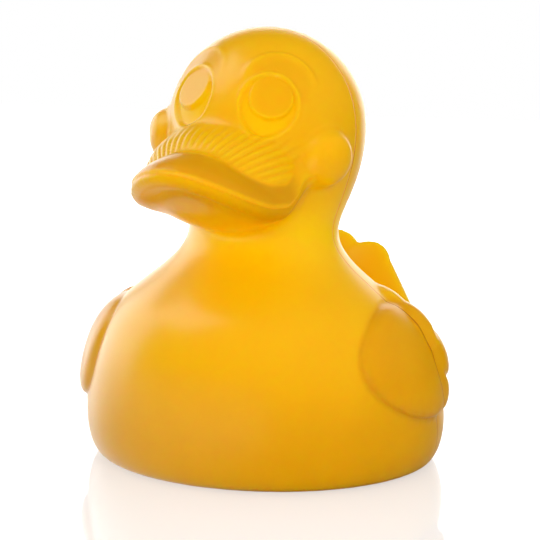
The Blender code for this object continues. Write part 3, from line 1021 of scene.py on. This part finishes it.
def addTable():
    surface = bmesh.new()
    bmesh.ops.create_grid(surface, x_segments=1, y_segments=1, size=0.5 * table["size"])
    mesh = bpy.data.meshes.new("table")
    surface.to_mesh(mesh)
    surface.free()
    mesh.materials.append(whiteAcrylic())
    plane = bpy.data.objects.new("table", mesh)
    bpy.context.scene.collection.objects.link(plane)


addTable()

# three panels that only the rubber's sheen sees, and two fills that leave no highlight
duckMiddle = 50 * mm
lamps = {
    "leftPanel": {"at": (-0.56, -0.34, 0.22), "aim": duckMiddle, "size": (0.66, 0.5), "radiance": 3.4},
    "topPanel": {"at": (-0.44, 0.02, 0.6), "aim": duckMiddle, "size": (0.5, 0.4), "radiance": 3.0},
    "backPanel": {"at": (0.07, -0.6, 0.12), "aim": duckMiddle, "size": (0.7, 0.5), "radiance": 1.5},
    "frontFill": {"at": (0.2, 0.65, 0.15), "aim": duckMiddle, "size": (0.5, 0.4), "radiance": 0.6},
    "lowFill": {"at": (-0.1, 0.5, 0.04), "aim": 35 * mm, "size": (1.0, 0.08), "radiance": 5.0},
}
for name, lamp in lamps.items():
    light = bpy.data.lights.new(name, "AREA")
    light.shape = "RECTANGLE"
    light.size, light.size_y = lamp["size"]
    light.energy = lamp["radiance"] * math.pi * light.size * light.size_y
    panel = bpy.data.objects.new(name, light)
    panel.location = spot(*lamp["at"])
    aim = Vector((0, 0, lamp["aim"])) - panel.location
    panel.rotation_euler = aim.to_track_quat("-Z", "Y").to_euler()
    panel.visible_diffuse = name.endswith("Fill")
    panel.visible_glossy = name.endswith("Panel")
    bpy.context.scene.collection.objects.link(panel)

# world: white to the camera; the rubber's sheen sees a white backdrop behind the duck and a dim room
room = {"left": 0.57, "right": 0.84, "backdrop": 1.0, "wide": 0.75, "full": 0.97}


def addRoom():
    world = bpy.data.worlds.new("room")
    world.use_nodes = True
    background = world.node_tree.nodes["Background"]
    background.inputs["Color"].default_value = (1, 1, 1, 1)
    ray = addNode(world, "ShaderNodeLightPath")
    aimed = addNode(world, "ShaderNodeTexCoord").outputs["Generated"]
    behind = addNode(world, "ShaderNodeVectorMath", {0: aimed, 1: -toCamera}, operation="DOT_PRODUCT")
    backdrop = {"Value": behind.outputs["Value"], "From Min": room["wide"], "From Max": room["full"]}
    backdrop["To Max"] = room["backdrop"]
    backdrop = addNode(world, "ShaderNodeMapRange", backdrop, interpolation_type="SMOOTHSTEP")
    across = addNode(world, "ShaderNodeVectorMath", {0: aimed, 1: toRight}, operation="DOT_PRODUCT")
    dusk = {"Value": across.outputs["Value"], "From Min": -1.0}
    dusk.update({"To Min": room["left"], "To Max": room["right"]})
    dusk = addNode(world, "ShaderNodeMapRange", dusk, interpolation_type="SMOOTHSTEP")
    soft = {0: ray.outputs["Is Glossy Ray"], 2: dusk.outputs["Result"], 3: backdrop.outputs["Result"]}
    soft = addNode(world, "ShaderNodeMix", soft, data_type="FLOAT")
    seen = {0: ray.outputs["Is Camera Ray"], 2: soft.outputs[0], 3: 1.0}
    seen = addNode(world, "ShaderNodeMix", seen, data_type="FLOAT")
    world.node_tree.links.new(seen.outputs[0], background.inputs["Strength"])
    bpy.context.scene.world = world


addRoom()
print("stage: table,", len(lamps), "lamps and the room")

# camera: about 400 mm away, a little above the head, 25 degrees to the duck's left
view = {"away": 397 * mm, "height": 104 * mm, "aimHeight": 45.6 * mm, "right": 1 * mm}
view["focalPixels"] = 1628
view["imagePixels"] = 540
view["roll"] = math.radians(0.5)
camera = bpy.data.cameras.new("camera")
camera.sensor_width = 36
camera.lens = camera.sensor_width * view["focalPixels"] / view["imagePixels"]
camera.clip_start = 10 * mm
eyePoint = spot(view["right"], view["away"], view["height"])
aimPoint = spot(view["right"], 0, view["aimHeight"])
look = (aimPoint - eyePoint).to_track_quat("-Z", "Y").to_matrix() @ Matrix.Rotation(view["roll"], 3, "Z")
cameraObject = bpy.data.objects.new("camera", camera)
cameraObject.location = eyePoint
cameraObject.rotation_euler = look.to_euler()
bpy.context.scene.collection.objects.link(cameraObject)
bpy.context.scene.camera = cameraObject
bpy.context.scene.view_settings.view_transform = "Standard"
